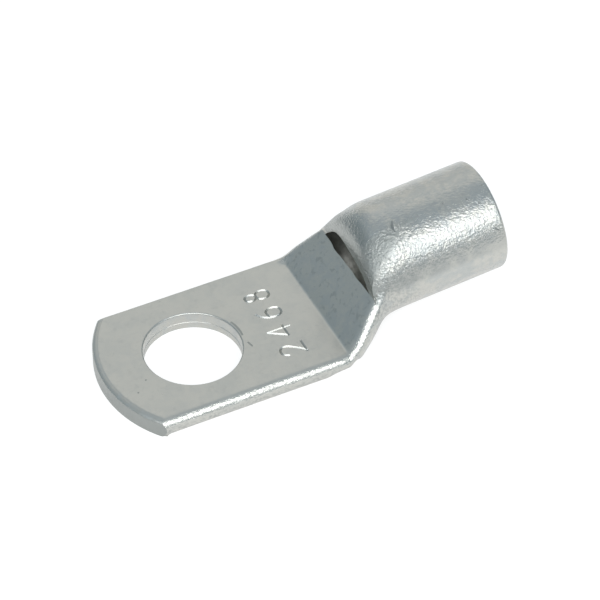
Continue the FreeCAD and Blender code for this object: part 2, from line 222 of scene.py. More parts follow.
class LugShape:
    """The lug's sections along its length, by the formulas of the CAD source."""

    def __init__(self, sizes):
        self.s = sizes
        self.radius = sizes.tube_od / 2
        self.bore = self.radius - sizes.tube_wall
        self.palm_half = sizes.palm_width / 2
        self.side_ratio = sizes.palm_side_round / (sizes.palm_thickness / 2)
        self.ramp_wall = sizes.tube_wall / math.cos(sizes.ramp_angle)
        self.climb = math.tan(sizes.ramp_angle)
        self.lip_crown = sizes.tube_od - sizes.lip_drop
        self.ramp_top = self.lip_crown - sizes.tube_wall - sizes.opening_gap
        self.fold_x = sizes.palm_reach
        self.lip_x = self.fold_x + (self.ramp_top - sizes.palm_thickness) / self.climb
        both_walls = sizes.pinch_gap + sizes.tube_wall + self.ramp_wall
        self.parting_x = self.fold_x + (both_walls - sizes.palm_thickness) / self.climb
        self.taper_start = self.fold_x - sizes.taper_lead
        self.taper_end = self.lip_x + sizes.taper_tail
        self.round_x = self.taper_end + sizes.shoulder_settle
        self.heel_x = self.fold_x + sizes.heel_offset
        self.plain_end = self.fold_x - sizes.edge_run / 2
        sag = sizes.tip_reach - sizes.tip_corner
        self.tip_radius = (self.palm_half ** 2 + sag ** 2) / (2 * sag)
        self.tip_centre = self.tip_radius - sizes.tip_reach
        origin, up, self.axis = self.plane(self.round_x, sizes.barrel_rise)
        self.round_centre = origin + up * self.radius
        self.mouth_centre = self.round_centre + self.axis * sizes.barrel_straight

    def underside(self, x):
        """Height of the bottom line: level palm, bent heel, straight barrel."""
        half_run = self.s.heel_run / 2
        past = x - (self.heel_x - half_run)
        if past <= 0:
            return 0.0
        if x < self.heel_x + half_run:
            return math.tan(self.s.barrel_rise) * past ** 2 / (4 * half_run)
        return math.tan(self.s.barrel_rise) * (x - self.heel_x)

    def half_width(self, x):
        """The sides stay a little fuller in the middle of the taper than the CAD's."""
        middle = (self.taper_start + self.taper_end) / 2
        full = ease(self.fold_x, self.fold_x + 1.8 * MM, x) * (1.0 - ease(middle, self.taper_end, x))
        taper = ease(self.taper_start, self.taper_end, x)
        return mix(self.palm_half, self.radius, taper) + FULLER_TAPER * full

    def lower_ratio(self, x, near=False):
        """Across by down of the lower rounding, which is wider at the near side of the bend."""
        ratio = mix(self.side_ratio, 1.0, ease(self.taper_start, self.round_x, x))
        if near:
            bend = ease(self.fold_x - 2.8 * MM, self.fold_x - 0.3 * MM, x)
            ratio += WIDER_BEND * bend * (1.0 - ease(self.fold_x - 0.1 * MM, self.fold_x + 1.6 * MM, x))
        return ratio

    def plane(self, x, tilt):
        """Origin, upward and forward directions of the section's plane at x."""
        up = Vector((-math.sin(tilt), 0, math.cos(tilt)))
        forward = Vector((math.cos(tilt), 0, math.sin(tilt)))
        return Vector((x, 0, self.underside(x))), up, forward

    def pressed_top(self, x, bend=FOOT_BEND):
        """Height of the flat top: the palm, a small inside bend, and the ramp."""
        past = x - self.fold_x
        if past <= -bend:
            return self.s.palm_thickness
        if past < bend:
            return self.s.palm_thickness + self.climb * (past + bend) ** 2 / (4 * bend)
        return self.s.palm_thickness + self.climb * past

    def pressed_sizes(self, x, near=True):
        """Springing level and upper corner of one side of the flat-topped section at x."""
        s = self.s
        run = s.edge_run / 2
        press = ease(self.fold_x, self.lip_x, x)
        share = ease(self.fold_x - run, self.fold_x + run, x)
        if near:
            down = mix(s.palm_thickness / 2, s.ramp_edge_down, press)
            across = mix(s.near_fold, s.ramp_edge_across, share)
        else:
            down = mix(s.palm_thickness / 2, FAR_EDGE_DOWN, press)
            across = mix(s.palm_side_round, FAR_EDGE_ACROSS, share)
            across = mix(across, FAR_LIP_ACROSS, ease(self.lip_x - 2.2 * MM, self.lip_x, x))
        return self.pressed_top(x) - self.underside(x) - down, across, down

    def pressed(self, x, steps):
        """Outline of the palm, neck or ramp at x; its far edge is pressed tighter."""
        half = self.half_width(x)
        sides = []
        for near in (False, True):
            level, across, down = self.pressed_sizes(x, near)
            fill = 0.0 if near else self.pressed_top(x, NEAR_FOOT_BEND) - self.pressed_top(x)
            upper = quarter_outline(half, down, across / down, FLAT, steps[0], steps[1])
            ratio = self.lower_ratio(x, near)
            lower = quarter_outline(half, level + fill, ratio, FLAT, steps[0], steps[2])
            edge = half - across
            upper = [(y, z - fill * (1 - ease(edge - 0.5 * MM, edge, y))) for y, z in upper]
            sides.append((level + fill, upper, lower))
        return self.closed(sides, x, 0.0)

    def pressed_inside(self, x, steps):
        """Outline of the cavity under the ramp at x."""
        s = self.s
        level, across, down = self.pressed_sizes(x)
        shrink = (level + down - self.ramp_wall - s.tube_wall) / (level + down)
        half = self.half_width(x) - s.tube_wall
        inner_level = s.tube_wall + level * shrink
        upper = quarter_outline(half, down * shrink, across / down, FLAT, steps[0], steps[1])
        lower = quarter_outline(half, level * shrink, self.lower_ratio(x), FLAT, steps[0], steps[2])
        return self.closed([(inner_level, upper, lower)] * 2, x, 0.0)

    def barrel(self, x, inset, steps):
        """Arched outline between the opening's lip and the round tube."""
        share = settle(self.lip_x, self.round_x, x)
        top = mix(self.lip_crown - self.underside(self.lip_x), 2 * self.radius, share)
        half = self.half_width(x) - inset
        split = self.s.arch_split
        lower_split = mix(FLAT, split, share) if share > 0 else FLAT
        sides = []
        for near in (False, True):
            level = mix(self.pressed_sizes(self.lip_x, near)[0], self.radius, share)
            upper = quarter_outline(half, top - level - inset, 1.0, split, steps[0], steps[1])
            if near and not inset:
                upper = self.drawn_in(x, half, upper, steps[0])
            if not near and not inset:
                upper = self.pulled_down(x, upper, 1.6 * steps[0])
            ratio = self.lower_ratio(x)
            lower = quarter_outline(half, level - inset, ratio, lower_split, steps[0], steps[2])
            sides.append((level, upper, lower))
        return self.closed(sides, x, self.s.barrel_rise * share)

    def drawn_in(self, x, half, upper, corner_steps):
        """The near shoulder, which the ramp's press drew in next to the lip."""
        share = 1.0 - ease(self.lip_x, self.lip_x + SHOULDER_RUN, x)
        if share <= 0:
            return upper
        _, across, down = self.pressed_sizes(self.lip_x)
        knee = KNEE * down
        knee_y = half - across + across * math.sqrt(1 - KNEE ** 2)
        meet_y, meet_z = upper[corner_steps]
        drawn = []
        for y, z in upper[:corner_steps]:
            if z < knee:
                inner = half - across + across * math.sqrt(1 - (z / down) ** 2)
            else:
                inner = mix(knee_y, meet_y, passed(knee, meet_z, z))
            drawn.append((mix(y, min(y, inner), share), z))
        return drawn + upper[corner_steps:]

    def pulled_down(self, x, upper, reach):
        """The far shoulder, whose corner the press pulled down next to the lip."""
        pull = SHOULDER_PULL * (1.0 - ease(self.lip_x, self.lip_x + SHOULDER_RUN, x))
        drawn = []
        for step, (y, z) in enumerate(upper):
            share = math.sin(math.pi * min(step / reach, 1.0))
            drawn.append((y - 0.73 * pull * share, z - 0.68 * pull * share))
        return drawn

    def tube(self, along, radius, steps):
        """Round outline this far along the straight barrel."""
        arc = (radius, radius, 1.0, self.s.arch_split)
        upper = quarter_outline(*arc, steps[0], steps[1])
        lower = quarter_outline(*arc, steps[0], steps[2])
        points = self.closed([(0.0, upper, lower)] * 2, self.round_x, self.s.barrel_rise)
        origin = self.plane(self.round_x, self.s.barrel_rise)[0]
        shift = self.round_centre + self.axis * along - origin
        return [point + shift for point in points]

    def closed(self, sides, x, tilt):
        """Points round the section, from the far side over the top to the near side."""
        (far, far_upper, far_lower), (near, near_upper, near_lower) = sides
        flat = [(y, far + z) for y, z in far_upper]
        flat += [(-y, near + z) for y, z in reversed(near_upper[:-1])]
        flat += [(-y, near - z) for y, z in near_lower[1:]]
        flat += [(y, far - z) for y, z in reversed(far_lower[1:-1])]
        origin, up, _ = self.plane(x, tilt)
        return [origin + Vector((0, y, 0)) + up * z for y, z in flat]


def first_ring(bm, outline):
    """A closed ring of vertices on the outline, with a face across it."""
    made = bmesh.ops.create_circle(bm, segments=len(outline), radius=1.0, cap_ends=True)
    ring = made["verts"]
    for vert, point in zip(ring, outline):
        vert.co = point
    return ring


def next_ring(bm, ring, outline):
    """Extrudes the ring and moves the new one onto the outline."""
    edges = [bm.edges.get(pair) for pair in zip(ring, ring[1:] + ring[:1])]
    made = bmesh.ops.extrude_edge_only(bm, edges=edges)["geom"]
    fresh = {item for item in made if isinstance(item, bmesh.types.BMVert)}
    new_ring = []
    for vert, point in zip(ring, outline):
        partner = next(e.other_vert(vert) for e in vert.link_edges if e.other_vert(vert) in fresh)
        partner.co = point
        new_ring.append(partner)
    return new_ring


def close_ring(bm, ring):
    edges = [bm.edges.get(pair) for pair in zip(ring, ring[1:] + ring[:1])]
    bmesh.ops.contextual_create(bm, geom=edges)


def finish_solid(bm):
    bmesh.ops.remove_doubles(bm, verts=bm.verts, dist=0.0005 * MM)
    bmesh.ops.dissolve_degenerate(bm, edges=bm.edges, dist=0.0005 * MM)
    bmesh.ops.recalc_face_normals(bm, faces=bm.faces)


def skin_through(outlines, finish=None):
    """A closed solid lofted through the outlines."""
    bm = bmesh.new()
    ring = first_ring(bm, outlines[0])
    for outline in outlines[1:]:
        ring = next_ring(bm, ring, outline)
    close_ring(bm, ring)
    finish_solid(bm)
    if finish:
        finish(bm)
    return bm


def as_object(name, bm, material_index=0):
    for face in bm.faces:
        face.material_index = material_index
    mesh = bpy.data.meshes.new(name)
    bm.to_mesh(mesh)
    bm.free()
    item = bpy.data.objects.new(name, mesh)
    bpy.context.scene.collection.objects.link(item)
    return item


def slots_on(item, materials):
    for material in materials:
        item.data.materials.append(material)


def mesh_of(item):
    """A new mesh, as the item's modifiers or its curve make it."""
    depsgraph = bpy.context.evaluated_depsgraph_get()
    return bpy.data.meshes.new_from_object(item.evaluated_get(depsgraph))


def carve(item, cutters):
    """Cuts all the cutters out of the item in one step and removes them."""
    tray = bpy.data.collections.new("Cutters")
    for cutter in cutters:
        slots_on(cutter, item.data.materials)
        tray.objects.link(cutter)
    step = item.modifiers.new("Carve", "BOOLEAN")
    step.operation = "DIFFERENCE"
    step.solver = "EXACT"
    step.material_mode = "INDEX"
    step.operand_type = "COLLECTION"
    step.collection = tray
    uncut, item.data = item.data, mesh_of(item)
    item.modifiers.clear()
    for mesh in [uncut] + [cutter.data for cutter in cutters]:
        bpy.data.meshes.remove(mesh)
    bpy.data.collections.remove(tray)


def lathe(profile, centre, steps):
    """A solid turned about a vertical line through centre, from (radius, height) points."""
    bm = bmesh.new()
    verts = [bm.verts.new((radius, 0, height)) for radius, height in profile]
    edges = [bm.edges.new(pair) for pair in zip(verts, verts[1:])]
    bmesh.ops.spin(
        bm, geom=verts + edges, cent=(0, 0, 0), axis=(0, 0, 1), angle=2 * math.pi,
        steps=steps, use_merge=True, use_duplicate=False)
    bmesh.ops.translate(bm, verts=bm.verts, vec=centre)
    finish_solid(bm)
    return bm


def outside_skin(shape):
    """The tube's outer skin from the trimmed-off blank to the mouth."""
    s = shape.s
    steps = (15, 30, 26)
    blank = -s.tip_reach - s.palm_thickness
    foot = 0.24 * MM
    marks = stations_through(
        (blank, shape.plain_end, shape.fold_x - foot, shape.fold_x + foot, shape.lip_x),
        (0.4, 0.2, 0.06, 0.24))
    outlines = [shape.pressed(x, steps) for x in marks]
    lip = shape.barrel(shape.lip_x, 0.0, steps)
    inner = []
    for point, other in zip(lip, shape.pressed(shape.lip_x, steps)):
        gap = (other - point).length
        share = 1.0 if gap < 0.3 * MM else min(LIP_ROUND / gap, 0.8)
        inner.append(point.lerp(other, share))
    outlines.append(inner)
    for turn in range(18, 91, 18):
        angle = math.radians(turn)
        near = shape.barrel(shape.lip_x + LIP_ROUND * (1 - math.cos(angle)), 0.0, steps)
        outlines.append([
            point + (pulled - lifted) * (1 - math.sin(angle))
            for point, pulled, lifted in zip(near, inner, lip)
        ])
    marks = stations(shape.lip_x + LIP_ROUND, shape.round_x, 0.22 * MM)
    outlines += [shape.barrel(x, 0.0, steps) for x in marks[1:]]
    straight = s.barrel_straight - s.mouth_round
    marks = stations(0, straight, 0.22 * MM)
    outlines += [shape.tube(along, shape.radius, steps) for along in marks[1:]]
    for turn in range(15, 91, 15):
        angle = math.radians(turn)
        along = straight + s.mouth_round * math.sin(angle)
        radius = shape.radius - s.mouth_round * (1 - math.cos(angle))
        outlines.append(shape.tube(along, radius, steps))
    return skin_through(outlines, lambda bm: press_marks(bm, shape))


# Wide, small and fine hollows: scale and shift of their noise
HOLLOWS = ((0.16, (3.1, 7.7, 1.3)), (0.55, (11.0, 2.0, 5.0)), (1.7, (4.0, 9.0, 2.0)))


def press_marks(bm, shape):
    """Shallow hollows that pressing leaves, always into the metal, and the tip's corners."""
    s = shape.s
    bm.normal_update()
    shifts = {}
    for vert in bm.verts:
        x, y, z = vert.co
        if z < 0.02 * MM:
            continue
        place = vert.co / MM
        wide, small, fine = (noise.noise(place * scale + Vector(shift)) + 0.7 for scale, shift in HOLLOWS)
        tube_share = ease(shape.fold_x, shape.round_x, x)
        depth = mix(0.010, 0.035, tube_share) * wide + mix(0.005, 0.014, tube_share) * small
        if abs(z - shape.pressed_top(x)) > 0.1 * MM or x > shape.lip_x:
            depth += 0.006 * fine
        from_hole = math.hypot(x, y) - s.stud_hole / 2
        from_tip = shape.tip_radius - math.hypot(x - shape.tip_centre, y)
        fade = 1.0 - ease(shape.mouth_centre.x - 1.2 * MM, shape.mouth_centre.x, x)
        fade *= ease(0.3 * MM, 1.6 * MM, from_hole) * ease(0.5 * MM, 2.0 * MM, from_tip)
        fade *= passed(0.1 * MM, 0.8 * MM, abs(x - shape.lip_x))
        shifts[vert] = vert.normal * (-max(depth, 0.0) * MM * fade)
    for vert, shift in shifts.items():
        vert.co += shift
    for vert in bm.verts:
        x, y, z = vert.co
        if y > shape.palm_half - 0.8 * MM:
            worn = 1.0 - passed(-s.tip_corner - 0.3 * MM, -s.tip_corner + 0.6 * MM, x)
            vert.co.y -= WORN_CORNER * worn ** 2
        burr = 1.0 - passed(0.08 * MM, 0.3 * MM, abs(x + s.tip_corner))
        if burr > 0 and y < -shape.palm_half + 0.7 * MM and z < 0.8 * MM:
            low = 1.0 - passed(0.0, 0.8 * MM, z)
            vert.co.y = mix(vert.co.y, -shape.palm_half + TIP_BURR, burr * low)


# The opening's arch seen from its middle at the ramp's top: turn in degrees, reach in mm
LIP_ARCH = [
    (0, 5.62), (3, 5.44), (14, 4.79), (24, 4.38), (35, 4.0), (50, 3.36), (63, 2.83), (78, 2.42),
    (92, 2.27), (108, 2.28), (125, 2.46), (144, 2.87), (157, 3.46), (168, 3.98), (175, 4.38), (180, 4.8),
]

# The ramp's torn upper edge in plan, from the far side to the near side, in mm
TORN_EDGE = [
    (18.36, 5.44), (18.35, 4.86), (18.33, 4.14), (18.26, 3.67), (18.20, 3.21), (18.20, 2.58),
    (18.24, 1.9), (18.26, 1.2), (18.25, 0.5), (18.27, -0.2), (18.30, -0.7), (18.27, -1.2),
    (18.24, -1.8), (18.27, -2.5), (18.31, -3.1), (18.33, -3.9), (18.32, -4.67),
]


def arch_reach(turn):
    """Reach of the opening's arch at this turn, in metres."""
    degrees = math.degrees(turn)
    for (start, low), (end, high) in zip(LIP_ARCH, LIP_ARCH[1:]):
        if degrees <= end:
            return mix(low, high, ease(start, end, degrees) * 0.3 + passed(start, end, degrees) * 0.7) * MM
    return LIP_ARCH[-1][1] * MM


def arch_middle(shape):
    return Vector((shape.lip_x, 0, shape.ramp_top - 0.15 * MM))


def hollow(shape):
    """The cavity: the pinched pocket under the ramp, the throat and the bore."""
    s = shape.s
    steps = (8, 14, 10)
    back = shape.lip_x + 0.12 * MM
    middle = arch_middle(shape)
    marks = stations(shape.parting_x, back, 0.4 * MM)
    outlines = [shape.pressed_inside(x, steps) for x in marks]
    for x in stations(back, shape.round_x, 0.3 * MM):
        share = ease(back + 0.1 * MM, back + 2.0 * MM, x)
        ring = []
        for point in shape.barrel(x, s.tube_wall, steps):
            past = Vector((0, point.y, point.z - middle.z))
            if past.z > 0:
                turn = math.atan2(past.z, past.y)
                drawn = past.normalized() * mix(arch_reach(turn) + 0.03 * MM, past.length, share)
                point = Vector((point.x, drawn.y, middle.z + drawn.z))
            ring.append(point)
        outlines.append(ring)
    straight = s.barrel_straight - s.mouth_lead
    outlines += [shape.tube(along, shape.bore, steps) for along in stations(0, straight, 1.5 * MM)[1:]]
    reach = 2 * s.mouth_lead
    outlines.append(shape.tube(straight + reach, shape.bore + reach, steps))
    return as_object("Hollow", skin_through(outlines), BORE)


def prism(points, push, index):
    """A solid made by pushing a flat outline."""
    bm = bmesh.new()
    face = bm.faces.new([bm.verts.new(point) for point in points])
    made = bmesh.ops.extrude_face_region(bm, geom=[face])["geom"]
    moved = [item for item in made if isinstance(item, bmesh.types.BMVert)]
    bmesh.ops.translate(bm, verts=moved, vec=push)
    finish_solid(bm)
    return as_object("Prism", bm, index)


def sight_window(shape):
    """Cuts the opening free under the lip's arch."""
    middle = arch_middle(shape)
    start = middle + Vector((-0.9 * MM, 0, 0))
    points = []
    for step in range(58):
        turn = math.pi * step / 57
        reach = arch_reach(turn)
        point = start + Vector((0, reach * math.cos(turn), reach * math.sin(turn)))
        point.z = max(point.z, shape.ramp_top - 0.03 * MM)
        if not points or (point - points[-1]).length > 0.02 * MM:
            points.append(point)
    return prism(points, (1.5 * MM, 0, 0), CUT)


def torn_edge(shape):
    """Cuts the ramp's wall off along its torn upper edge."""
    floor = shape.ramp_top - shape.ramp_wall - 0.25 * MM
    top = shape.ramp_top + 0.05 * MM
    points = [Vector((x * MM, y * MM, floor)) for x, y in TORN_EDGE]
    points += [
        Vector((shape.lip_x + 0.5 * MM, -4.67 * MM, floor)),
        Vector((shape.lip_x + 0.5 * MM, 5.44 * MM, floor)),
    ]
    return prism(points, (0, 0, top - floor), CUT)


def stud_punch(shape):
    """The punch's path: straight, flared at the top rim, with a hair ridge for the seam."""
    s = shape.s
    radius, edge, top = s.stud_hole / 2, s.stud_edge + STUD_FLARE, s.palm_thickness
    seam, hair, out = 0.82 * MM, 0.05 * MM, 1 * MM
    profile = [(0, -out), (radius, -out), (radius, seam - hair), (radius + 0.06 * MM, seam)]
    profile.append((radius, seam + hair))
    for turn in range(0, 76, 15):
        angle = math.radians(turn)
        profile.append((radius + edge * (1 - math.cos(angle)), top - edge + edge * math.sin(angle)))
    profile += [(radius + 3 * edge, top + out), (0, top + out)]
    return as_object("Cutter", lathe(profile, (0, 0, 0), 128), CUT)


def tip_trimmer(shape):
    """The die outside the tip's arc, with a rounded inner top edge."""
    s = shape.s
    top, roll, droop, radius = s.palm_thickness, s.tip_rollover, s.tip_droop, shape.tip_radius
    far, out = radius + 6 * MM, 1 * MM
    profile = [(far, -out), (radius, -out)]
    for turn in range(0, 73, 8):
        angle = math.radians(turn)
        profile.append((radius - roll * (1 - math.cos(angle)), top - droop + droop * math.sin(angle)))
    profile += [(radius - 3 * roll, top + out), (far, top + out), (far, -out)]
    bm = lathe(profile, (shape.tip_centre, 0, 0), 360)
    whole = list(bm.verts) + list(bm.edges) + list(bm.faces)
    cut = bmesh.ops.bisect_plane(
        bm, geom=whole, plane_co=(-1.5 * MM, 0, 0), plane_no=(1, 0, 0), clear_outer=True)
    rim = [item for item in cut["geom_cut"] if isinstance(item, bmesh.types.BMEdge)]
    bmesh.ops.holes_fill(bm, edges=rim)
    bmesh.ops.triangulate(bm, faces=[face for face in bm.faces if len(face.verts) > 4])
    finish_solid(bm)
    return as_object("Cutter", bm, CUT)


# Strokes of plain numbers in a cell one unit tall, in turns that never cross: points, closed
NUMBER_STROKES = {
    "2": [
        ([(0.03, 0.74), (0.1, 0.94), (0.3, 1.03), (0.52, 0.93), (0.56, 0.7), (0.4, 0.42), (0.02, 0.0)],
         False),
        ([(-0.06, 0.02), (0.3, 0.02), (0.6, 0.02)], False),
    ],
    "4": [
        ([(0.44, 1.03), (0.22, 0.68), (0.0, 0.33)], False),
        ([(-0.06, 0.3), (0.3, 0.3), (0.62, 0.3)], False),
        ([(0.43, 1.0), (0.43, 0.5), (0.43, 0.0)], False),
    ],
    "6": [
        ([(0.48, 1.0), (0.24, 0.86), (0.07, 0.6), (0.02, 0.3)], False),
        ([(0.02, 0.28), (0.1, 0.55), (0.46, 0.6), (0.58, 0.28), (0.46, -0.03), (0.12, -0.03)], True),
    ],
    "8": [
        ([(0.1, 0.76), (0.16, 1.0), (0.42, 1.0), (0.48, 0.76), (0.4, 0.54), (0.18, 0.54)], True),
        ([(0.03, 0.26), (0.12, 0.53), (0.46, 0.53), (0.55, 0.26), (0.45, -0.02), (0.13, -0.02)], True),
    ],
}

# Where each number stands across the palm, and where their line starts along it, in mm
NUMBER_PLACES = {"2": -4.7, "4": -1.75, "6": 1.2, "8": 4.15}
NUMBER_LINE = 9.4


def groove_cutter(paths, sides, index):
    """Rods along the paths of (radius, points, closed), all in millimetres, as one cutter."""
    curve = bpy.data.curves.new("Grooves", "CURVE")
    curve.dimensions = "3D"
    curve.twist_mode = "Z_UP"
    curve.bevel_depth = MM
    curve.bevel_resolution = sides
    curve.use_fill_caps = True
    curve.resolution_u = 4
    for radius, points, cyclic in paths:
        spline = curve.splines.new("NURBS")
        spline.points.add(len(points) - 1)
        for item, point in zip(spline.points, points):
            item.co = (*(Vector(point) * MM), 1.0)
            item.radius = radius
        spline.use_cyclic_u = cyclic
        spline.use_endpoint_u = not cyclic
        spline.order_u = 3
    item = bpy.data.objects.new("Grooves", curve)
    bpy.context.scene.collection.objects.link(item)
    mesh = mesh_of(item)
    bpy.data.curves.remove(curve)
    bm = bmesh.new()
    bm.from_mesh(mesh)
    bpy.data.meshes.remove(mesh)
    finish_solid(bm)
    return as_object("Grooves", bm, index)


def number_stamps(shape):
    """Plain even numbers across the palm, like those on a dial, as sharp-edged punches."""
    s = shape.s
    tall = s.stamp_height / MM
    base_x = NUMBER_LINE + tall / 2
    stamps = []
    for turn in range(3):
        paths = []
        for digit, along in NUMBER_PLACES.items():
            for points, cyclic in NUMBER_STROKES[digit][turn:turn + 1]:
                level = s.palm_thickness / MM + 0.012 * turn
                laid = [(base_x - v * tall, along + (u - 0.3) * tall, level) for u, v in points]
                paths.append((s.stamp_depth / MM, laid, cyclic))
        stamps.append(groove_cutter(paths, 0, CUT))
    return stamps


# Bright scratches: rod radius, depth and plan points, in mm
SCRATCHES = [
    (0.10, 0.018, [(20.4, -2.99), (21.4, -3.06), (22.4, -3.16)]),
    (0.12, 0.022, [(22.95, -3.12), (23.4, -3.30), (24.3, -3.34)]),
    (0.12, 0.030, [(20.30, -3.90), (19.95, -4.20), (19.62, -4.46), (19.25, -4.74)]),
    (0.12, 0.030, [(27.08, -5.25), (26.97, -5.50)]),
    (0.15, 0.012, [(-5.75, 3.68), (-5.9, 2.87)]),
]

# Dark nicks, the same way
NICKS = [
    (0.36, 0.035, [(22.79, -1.40), (22.34, -1.80), (22.20, -2.29), (22.34, -2.67), (22.70, -3.03)]),
    (0.16, 0.035, [(23.45, -3.70), (23.60, -3.58), (23.90, -3.55), (24.20, -3.74)]),
    (0.16, 0.035, [(32.88, -5.30), (33.25, -5.50)]),
    (0.20, 0.040, [(20.62, -4.53), (20.80, -4.63)]),
    (0.20, 0.040, [(33.15, -1.52), (33.28, -1.66)]),
    (0.16, 0.030, [(32.07, -3.02), (32.07, -3.30)]),
    (0.16, 0.030, [(30.97, -2.30), (30.97, -2.52)]),
    (0.20, 0.030, [(28.28, -1.78), (28.44, -1.88)]),
    (0.30, 0.035, [(5.08, 2.35), (5.40, 1.5), (5.55, 0.6), (5.58, -0.2), (5.50, -1.1)]),
    (0.30, 0.025, [(5.45, -1.3), (5.62, -1.8), (5.75, -2.35), (5.9, -3.0)]),
    (0.20, 0.020, [(-6.25, -2.0), (-6.40, -2.16)]),
    (0.20, 0.030, [(-7.72, -3.35), (-7.84, -3.47)]),
]


def handling_marks(lug, marks, index):
    """Nicks or scratches laid on the surface that they mark."""
    paths = []
    for radius, depth, points in marks:
        laid = []
        for step, (x, y) in enumerate(points):
            hit, place, normal, _ = lug.ray_cast(Vector((x * MM, y * MM, 20 * MM)), Vector((0, 0, -1)))
            if not hit:
                raise RuntimeError("a mark misses the lug")
            end = len(points) > 2 and step in (0, len(points) - 1)
            laid.append(place / MM + normal * (radius - depth * (-0.3 if end else 1.0)))
        paths.append((radius, laid, False))
    return groove_cutter(paths, 3, index)


def sharpen(item, angle):
    """Smooth faces with sharp edges where they turn by more than the angle."""
    bm = bmesh.new()
    bm.from_mesh(item.data)
    bmesh.ops.remove_doubles(bm, verts=bm.verts, dist=0.001 * MM)
    bmesh.ops.dissolve_degenerate(bm, edges=bm.edges, dist=0.001 * MM)
    for face in bm.faces:
        face.smooth = True
    for edge in bm.edges:
        edge.smooth = edge.is_manifold and edge.calc_face_angle(0.0) < angle
    bm.to_mesh(item.data)
    bm.free()


# The Mix node's sockets when it mixes colours
MIX_SHARE, MIX_FIRST, MIX_SECOND, MIX_RESULT = 0, 6, 7, 2


class Tree:
    """Short ways to place and join shader nodes."""

    def __init__(self, tree):
        self.nodes, self.links = tree.nodes, tree.links

    def add(self, kind, inputs=None, **settings):
        node = self.nodes.new(kind)
        for name, value in settings.items():
            setattr(node, name, value)
        for name, value in (inputs or {}).items():
            self.feed(node, name, value)
        return node

    def feed(self, node, name, value):
        """Joins a socket to the node's input, or sets a plain value on it."""
        socket = node.inputs[name]
        if isinstance(value, bpy.types.NodeSocket):
            self.links.new(value, socket)
        else:
            socket.default_value = value

    def math(self, operation, first, *others):
        """The operation over all the values, in their order."""
        for other in others:
            first = self.add("ShaderNodeMath", {0: first, 1: other}, operation=operation).outputs[0]
        return first

    def product(self, *values):
        return self.math("MULTIPLY", *values)

    def rise(self, value, low, high, to_low=0.0, to_high=1.0):
        """A smooth step of the value from low to high."""
        node = self.add(
            "ShaderNodeMapRange",
            {"Value": value, "From Min": low, "From Max": high, "To Min": to_low, "To Max": to_high},
            interpolation_type="SMOOTHSTEP")
        return node.outputs["Result"]

    def fall(self, value, low, high):
        return self.rise(value, low, high, 1.0, 0.0)

    def blend(self, share, *tones):
        """Mixes two tones, each a socket or a plain colour."""
        first, second = [tone if isinstance(tone, bpy.types.NodeSocket) else (*tone, 1.0) for tone in tones]
        inputs = {MIX_SHARE: share, MIX_FIRST: first, MIX_SECOND: second}
        return self.add("ShaderNodeMix", inputs, data_type="RGBA").outputs[MIX_RESULT]

    def noise(self, place, scale, detail=2.0, roughness=0.5, distortion=0.0):
        inputs = {"Vector": place, "Scale": scale, "Detail": detail, "Roughness": roughness,
                  "Distortion": distortion}
        return self.add("ShaderNodeTexNoise", inputs).outputs["Fac"]

    def axes(self, place):
        return self.add("ShaderNodeSeparateXYZ", {"Vector": place}).outputs

    def bump(self, shader, height, strength, depth):
        """Lays the height on the shader's normal; the depth is in millimetres."""
        inputs = {"Height": height, "Strength": strength, "Distance": depth * MM}
        self.feed(shader, "Normal", self.add("ShaderNodeBump", inputs).outputs["Normal"])


def tin_surface_group():
    """Grain, pits, soft mottling and scratches of tin plating, in millimetres."""
    group = bpy.data.node_groups.new("TinSurface", "ShaderNodeTree")
    group.interface.new_socket("Place", in_out="INPUT", socket_type="NodeSocketVector")
    for label in ("Grain", "Pits", "Scratches"):
        share = group.interface.new_socket(label, in_out="INPUT", socket_type="NodeSocketFloat")
        share.default_value = 1.0
    for label in ("Mottle", "Spots", "Marks", "Height"):
        group.interface.new_socket(label, in_out="OUTPUT", socket_type="NodeSocketFloat")
    tree = Tree(group)
    start = tree.add("NodeGroupInput").outputs
    place = start["Place"]
    soft = tree.noise(place, 0.42, 3.0, 0.55, 0.6)
    blotch = tree.noise(place, 1.5, 3.0, 0.6)
    mottle = tree.math("ADD", tree.product(soft, 0.6), tree.product(blotch, 0.4))
    spots = tree.rise(tree.noise(place, 1.7, 2.0, 0.5, 0.4), 0.56, 0.7)
    pit = tree.add("ShaderNodeTexVoronoi", {"Vector": place, "Scale": 1.9, "Randomness": 1.0})
    reach = tree.rise(tree.noise(place, 0.9, 1.0), 0.3, 0.7, 0.01, 0.11)
    hole = tree.rise(tree.math("SUBTRACT", reach, pit.outputs["Distance"]), 0.0, 0.08)
    hole = tree.product(hole, start["Pits"])
    lines = []
    for turn, stretch, level in ((0.35, 0.35, 0.69), (-0.75, 0.3, 0.71), (1.35, 0.5, 0.72)):
        laid = tree.add(
            "ShaderNodeMapping",
            {"Vector": place, "Rotation": (0.2 * turn, 0.3, turn), "Scale": (stretch, 7.0, 7.0)})
        streak = tree.noise(laid.outputs["Vector"], 1.0, 1.0, 0.4)
        lines.append(tree.rise(streak, level, level + 0.06))
    scratch = tree.product(tree.math("MAXIMUM", *lines), start["Scratches"])
    grain = tree.product(tree.math("SUBTRACT", tree.noise(place, 3.3, 3.0, 0.62), 0.5), start["Grain"])
    fine = tree.product(tree.math("SUBTRACT", tree.noise(place, 9.0), 0.5), 0.12)
    height = tree.math("ADD", grain, fine)
    height = tree.math("SUBTRACT", height, tree.product(hole, 0.6), tree.product(scratch, 0.35))
    marks = tree.math("MAXIMUM", hole, tree.product(scratch, 0.45))
    tree.add("NodeGroupOutput", {"Mottle": mottle, "Spots": spots, "Marks": marks, "Height": height})
    return group


def bare_material(name):
    material = bpy.data.materials.new(name)
    material.use_nodes = True
    material.node_tree.nodes.clear()
    return material, Tree(material.node_tree)


